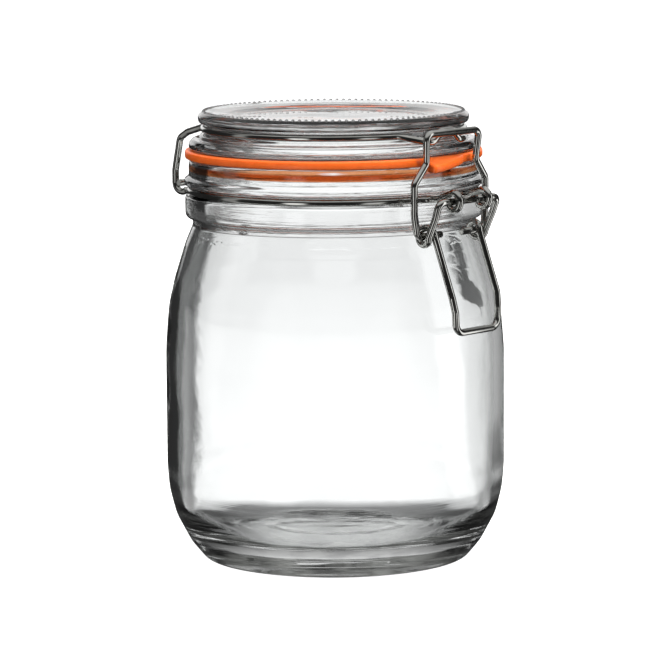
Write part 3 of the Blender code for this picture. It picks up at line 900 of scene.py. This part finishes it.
class CLIPJAR_OT_lever(Operator):
    """Build the lever: two pins in the eyes, two coils and the pull handle"""
    bl_idname = "clipjar.lever"
    bl_label = "Lever"

    def execute(self, context):
        # The wire's two ends nearly meet on the axis, to the right of the middle.
        left, right = lever_side(-1, pin_end=3.0), lever_side(1, pin_end=4.0)
        obj = drawn_wire("clasp_lever", left + list(reversed(right))[1:])
        dress(obj, steel(), "lever", "wire", "lever")
        return {"FINISHED"}


class CLIPJAR_OT_link(Operator):
    """Build the link that reaches from the lever's coils over the lid's hump"""
    bl_idname = "clipjar.link"
    bl_label = "Link"

    def execute(self, context):
        half = link_side()
        obj = drawn_wire("clasp_link", mirrored(half)[:-1] + half)
        dress(obj, steel(), "link", "wire", "link")
        return {"FINISHED"}


# ---- stage ------------------------------------------------------------------------------
def between(value, stops):
    """Read a value off straight lines through (position, level) stops."""
    if value <= stops[0][0]:
        return stops[0][1]
    for (x0, y0), (x1, y1) in zip(stops, stops[1:]):
        if value <= x1:
            return y0 + (y1 - y0) * (value - x0) / (x1 - x0)
    return stops[-1][1]


def backdrop_shade(along, left, high):
    """How bright the surroundings are that the glass is seen through.

    The paper is white behind the jar.  It is dim on the right, where a dark stand lies
    far back, and on the left it stops and the room is dark.
    """
    radius = math.hypot(along, left)
    if high > 0.001:
        # The walls are lit straight ahead and dark on the left, and fade upwards.
        turn = math.degrees(math.atan2(left, along))
        wall = between(turn, [(-100.0, 0.7), (-60.0, 0.45), (-20.0, 0.6), (-14.0, 1.05),
                              (14.0, 1.05), (20.0, 0.1), (95.0, 0.1), (110.0, 0.7)])
        return between(high / ROOM, [(0.06, wall), (0.2, 0.6 * wall), (0.32, 0.12), (1.0, 0.1)])
    # The jar's own soft shadow lies round its foot.
    shadow = between(radius, [(0.022, 0.95), (0.034, 0.6), (0.042, 0.2), (0.05, 0.3),
                              (0.062, 0.75), (0.078, PAPER)])
    if radius < 0.056:
        return shadow * between(abs(left), [(0.022, 1.0), (0.04, 0.25)])
    if along < 0.0:
        # In front, close to the jar, only a strip down the middle is lit.
        flank = between(radius, [(0.07, 0.1), (0.16, PAPER)])
        return min(shadow, between(abs(left), [(0.028, PAPER), (0.04, flank)]))
    # Behind, the sides are told by angles seen from the left and right of the jar.
    to_left = math.degrees(math.atan2(left - 0.047, along))
    to_right = math.degrees(math.atan2(-left - 0.040, along))
    dark = between(to_left, [(7.5, PAPER), (8.5, 0.3), (9.5, 0.03), (48.0, 0.03), (54.0, PAPER)])
    wing = between(radius, [(0.12, 0.1), (0.34, 0.6)])
    dim = between(to_right, [(-1.5, PAPER), (2.5, 1.12), (12.0, 1.05), (20.0, wing),
                             (46.0, wing), (60.0, PAPER)])
    gloom = PAPER
    if 0.48 < along < 1.35:
        # A dark stand far back on the right shows inside the clasp's handle.
        middle = between(along, [(0.48, 13.0), (0.75, 10.5), (1.0, 8.2), (1.35, 7.6)])
        half = between(along, [(0.48, 0.4), (0.62, 4.2), (0.88, 3.8), (0.98, 1.5), (1.35, 1.0)])
        gloom = between(abs(to_right - middle) / half, [(0.85, 0.1), (1.1, PAPER)])
    # The paper falls off with distance, and to both sides the more so the further off.
    far = between(along, [(0.22, PAPER), (0.45, 1.03), (0.7, 0.97), (1.0, 0.95), (3.0, 0.92)])
    edge = between(along, [(0.05, PAPER), (0.5, 0.94)])
    beside = between(abs(left), [(0.006, 1.16), (0.05, edge)])
    return min(dark, dim, shadow, gloom, far, beside)


def room_shade(along, left, high):
    """How bright the room is that steel and glass mirror: dark walls with a few pale
    panels, under a pale ceiling."""
    # Painted shade: the floor close round the jar is dark, where the jar shades it.
    if high < 0.001 and math.hypot(along, left) < 0.12:
        return 0.05
    turn = math.degrees(math.atan2(left, along))
    # Each panel has its middle and half width, in degrees to the left, and a brightness.
    panels = [(92.0, 5.0, 0.5), (-98.0, 8.0, 2.2)]
    if high > 0.001:
        panels.append((0.0, 24.0, 1.15))
    else:
        panels += [(150.0, 5.0, 2.0), (-150.0, 5.0, 1.0)]
    level = 0.03
    for centre, half, glow in panels:
        off = abs(math.remainder(turn - centre, 360.0))
        level = max(level, glow * between(off, [(half, 1.0), (half + 5.0, 0.0)]))
    return between(high / ROOM, [(0.0, level), (0.5, level), (0.7, 0.2), (1.0, 0.9)])


def surroundings(name, shade, seen_by):
    """A wide bowl round the jar whose brightness is set point by point along the view."""
    stations = [(r, 0.0) for r in (0.01, 0.02, 0.03, 0.036, 0.045, 0.05)]
    stations += [(0.055 * 1.05 ** step, 0.0) for step in range(82)] + [(ROOM, 0.0)]
    stations += [(ROOM, z) for z in (0.1, 0.2, 0.45, 0.8, 1.5, 2.1, ROOM)] + [(1.5, ROOM)]
    turns, sunk, ahead = 360, 0.0001, math.radians(AWAY)
    verts, tones, rings = [], [], []
    for r, z in [(0.0, 0.0)] + stations + [(0.0, ROOM)]:
        if r == 0.0:
            rings.append([len(verts)] * turns)
            verts.append((0.0, 0.0, z - sunk))
            tones.append(shade(0.0, 0.0, z))
            continue
        rings.append(list(range(len(verts), len(verts) + turns)))
        for k in range(turns):
            turn = 2 * math.pi * k / turns
            verts.append((r * math.cos(turn + ahead), r * math.sin(turn + ahead), z - sunk))
            tones.append(shade(r * math.cos(turn), r * math.sin(turn), z))
    mesh = bpy.data.meshes.new(name)
    mesh.from_pydata(verts, [], skin(rings, closed=False))
    levels = mesh.color_attributes.new("level", "FLOAT_COLOR", "POINT")
    for item, tone in zip(levels.data, tones):
        item.color = (tone, tone, tone, 1.0)
    mat, tree = new_material("paper_" + name)
    level = add(tree, "VertexColor", {"layer_name": "level"})
    lamp = add(tree, "Emission", {"Strength": 1.0}, {"Color": level})
    add(tree, "OutputMaterial", links={"Surface": lamp})
    mesh.materials.append(mat)
    obj = placed(name, mesh)
    for kind in ("camera", "diffuse", "glossy", "transmission", "shadow"):
        setattr(obj, "visible_" + kind, kind in seen_by)


class CLIPJAR_OT_stage(Operator):
    """Set the floor, the soft surroundings, the lights and the camera"""
    bl_idname = "clipjar.stage"
    bl_label = "Stage"

    def execute(self, context):
        settings = context.scene.clip_stage
        mesh = bpy.data.meshes.new("floor")
        shell = bmesh.new()
        bmesh.ops.create_circle(shell, cap_ends=True, segments=96, radius=settings.floor_r)
        shell.to_mesh(mesh)
        shell.free()
        floor = placed("floor", mesh)
        floor.location.z = -0.0002
        mat, tree = new_material("painted_floor")
        shader = add(tree, "BsdfPrincipled",
                     {"Base Color": linear(settings.white), "Roughness": 0.9,
                      "Specular IOR Level": 0.0,
                      "Emission Color": linear("#FFFFFF"), "Emission Strength": 0.95})
        add(tree, "OutputMaterial", links={"Surface": shader})
        mesh.materials.append(mat)

        # Surroundings: an even white room, with what the glass and the steel see set apart.
        world = bpy.data.worlds.new("studio")
        context.scene.world = world
        world.use_nodes = True
        tree = world.node_tree
        tree.nodes.clear()
        back = add(tree, "Background", {"Color": linear("#FFFFFF"), "Strength": 1.02})
        add(tree, "OutputWorld", links={"Surface": back})
        surroundings("sweep", backdrop_shade, ("transmission",))
        surroundings("room", room_shade, ("glossy", "diffuse"))

        # The lamps point at the jar's middle, and neither glass nor steel shows them.
        for name, place, size, power in (
                ("top_box", (0.2, -0.3, 1.5), 0.9, 22.0),
                ("left_box", (-1.4, 0.3, 0.9), 0.5, 12.0),
                ("front_box", (-0.2, -1.6, 1.1), 0.5, 26.0)):
            lamp = bpy.data.lights.new(name, "AREA")
            lamp.shape = "SQUARE"
            lamp.size, lamp.energy = size, power
            obj = placed(name, lamp)
            obj.location = place
            aim = Vector((0, 0, 0.08)) - Vector(place)
            obj.rotation_mode = "QUATERNION"
            obj.rotation_quaternion = aim.to_track_quat("-Z", "Y")
            obj.visible_glossy = False
            obj.visible_transmission = False

        # The camera stands to the left of the clasp and looks slightly down.
        distance, rise, bearing = 1.166, 0.235, math.radians(AWAY - 180.0)
        yaw, pitch, roll = math.radians(0.037), math.radians(8.06), math.radians(-0.4)
        heading = bearing + math.pi + yaw
        ahead = Vector((math.cos(heading) * math.cos(pitch),
                        math.sin(heading) * math.cos(pitch), -math.sin(pitch)))
        right = ahead.cross(Vector((0, 0, 1))).normalized()
        up = right.cross(ahead)
        tilted = right * math.cos(roll) + up * math.sin(roll)
        upright = up * math.cos(roll) - right * math.sin(roll)
        data = bpy.data.cameras.new("camera")
        data.lens, data.sensor_width = settings.lens, 36.0
        data.clip_start, data.clip_end = 0.01, 40.0
        camera = placed("camera", data)
        camera.matrix_world = Matrix((
            (tilted.x, upright.x, -ahead.x, math.cos(bearing) * distance),
            (tilted.y, upright.y, -ahead.y, math.sin(bearing) * distance),
            (tilted.z, upright.z, -ahead.z, rise),
            (0.0, 0.0, 0.0, 1.0)))
        context.scene.camera = camera
        context.scene.view_settings.view_transform = "Standard"
        return {"FINISHED"}


class CLIPJAR_PT_panel(Panel):
    bl_label = "Clip-top jar"
    bl_idname = "CLIPJAR_PT_panel"
    bl_space_type = "VIEW_3D"
    bl_region_type = "UI"
    bl_category = "Jar"

    def draw(self, context):
        for name, group in SETTINGS.items():
            box = self.layout.box()
            for field in group.__annotations__:
                box.prop(getattr(context.scene, name), field)
        for operator in OPERATORS:
            self.layout.operator(operator.bl_idname)


OPERATORS = (CLIPJAR_OT_jar_glass, CLIPJAR_OT_lid_glass, CLIPJAR_OT_gasket,
             CLIPJAR_OT_neck_wire, CLIPJAR_OT_lid_wire, CLIPJAR_OT_lever, CLIPJAR_OT_link,
             CLIPJAR_OT_stage)
CLASSES = tuple(SETTINGS.values()) + OPERATORS + (CLIPJAR_PT_panel,)


def register():
    for cls in CLASSES:
        bpy.utils.register_class(cls)
    for name, group in SETTINGS.items():
        setattr(bpy.types.Scene, name, PointerProperty(type=group))


def unregister():
    for name in SETTINGS:
        delattr(bpy.types.Scene, name)
    for cls in reversed(CLASSES):
        bpy.utils.unregister_class(cls)


def main():
    """Build every piece and the stage."""
    register()
    for operator in OPERATORS:
        getattr(bpy.ops.clipjar, operator.bl_idname.split(".")[1])()


if __name__ == "__main__":
    main()
